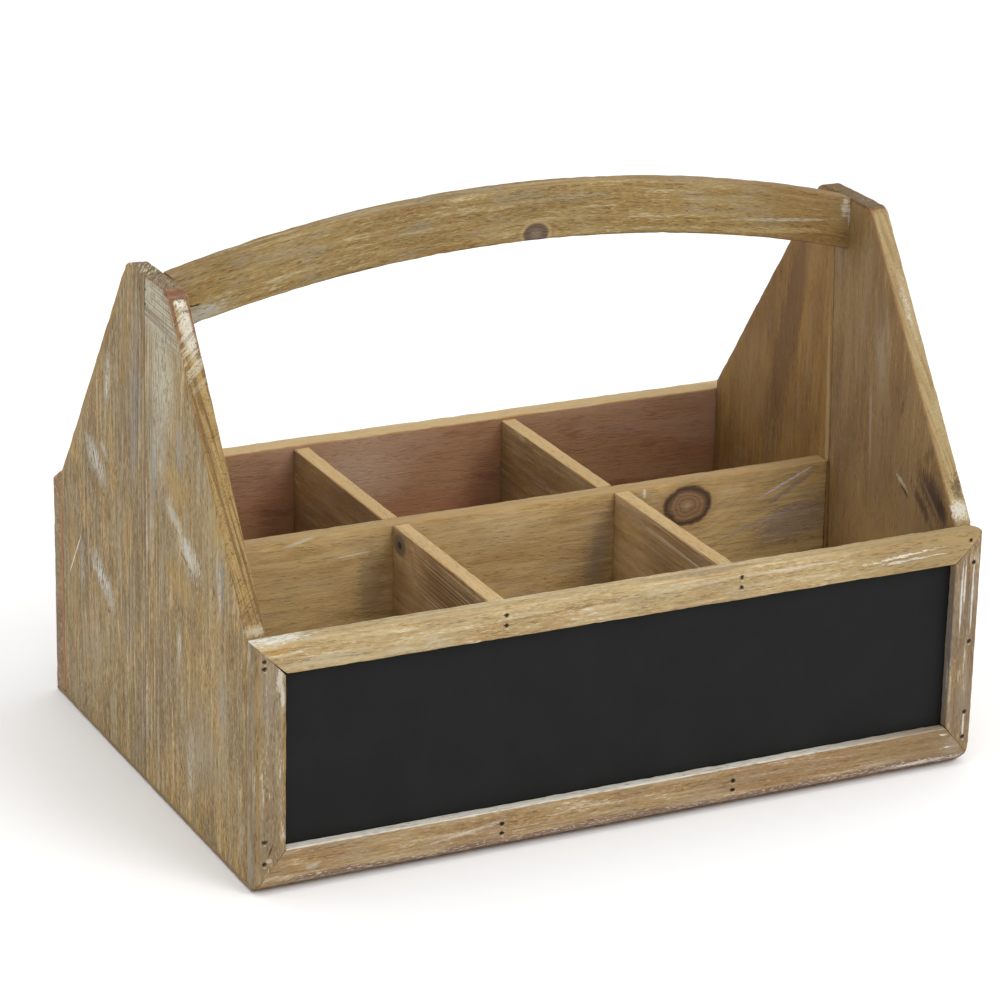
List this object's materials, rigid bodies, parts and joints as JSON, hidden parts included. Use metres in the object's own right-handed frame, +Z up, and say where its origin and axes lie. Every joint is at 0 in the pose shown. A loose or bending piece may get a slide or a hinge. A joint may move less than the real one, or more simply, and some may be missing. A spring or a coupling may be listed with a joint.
{
  "type": "bottle caddy",
  "caption": "Open wooden bottle carrier: a divided crate with gabled ends, an arched handle board between them and a framed chalkboard on the front.",
  "frame": {"origin": "centre of the underside's bounding rectangle, on the surface that the caddy stands on", "axes": "+Z up, +X along the caddy's length to the right as the chalkboard is faced, -Y out of the chalkboard's front"},
  "size_m": [0.3, 0.2084, 0.222],
  "materials": {
    "honey_wood": "weathered softwood, honey brown with a grey-white wash left in the grain",
    "brown_wood": "weathered softwood, darker brown with grey streaks",
    "chalkboard": "matt black chalkboard paint on thin board",
    "brad_steel": "dull, slightly rusty steel"
  },
  "bodies": {
    "root": {"frame_top_rail": "honey_wood", "frame_bottom_rail": "honey_wood", "frame_left_stile": "honey_wood", "frame_right_stile": "honey_wood", "left_end_front_board": "honey_wood", "right_end_front_board": "honey_wood", "front_left_divider": "honey_wood", "front_right_divider": "honey_wood", "rear_left_divider": "honey_wood", "rear_right_divider": "honey_wood", "handle": "honey_wood", "bottom_board": "brown_wood", "left_end_rear_board": "brown_wood", "right_end_rear_board": "brown_wood", "back_panel": "brown_wood", "long_divider": "brown_wood", "front_panel": "chalkboard", "top_rail_brad_1": "brad_steel", "top_rail_brad_2": "brad_steel", "top_rail_brad_3": "brad_steel", "top_rail_brad_4": "brad_steel", "bottom_rail_brad_1": "brad_steel", "bottom_rail_brad_2": "brad_steel", "bottom_rail_brad_3": "brad_steel", "bottom_rail_brad_4": "brad_steel", "top_corner_brad_1": "brad_steel", "left_stile_brad_1": "brad_steel", "left_stile_brad_2": "brad_steel", "left_stile_brad_3": "brad_steel", "left_stile_brad_4": "brad_steel", "right_stile_brad_1": "brad_steel", "right_stile_brad_2": "brad_steel", "right_stile_brad_3": "brad_steel", "right_stile_brad_4": "brad_steel", "left_handle_brad_1": "brad_steel", "left_handle_brad_2": "brad_steel", "right_handle_brad_1": "brad_steel", "right_handle_brad_2": "brad_steel", "back_brad_1": "brad_steel", "back_brad_2": "brad_steel", "back_brad_3": "brad_steel", "back_brad_4": "brad_steel", "back_brad_5": "brad_steel", "back_brad_6": "brad_steel", "base_brad_1": "brad_steel", "base_brad_2": "brad_steel", "base_brad_3": "brad_steel", "base_brad_4": "brad_steel", "base_brad_5": "brad_steel", "base_brad_6": "brad_steel"}
  },
  "joints": []
}
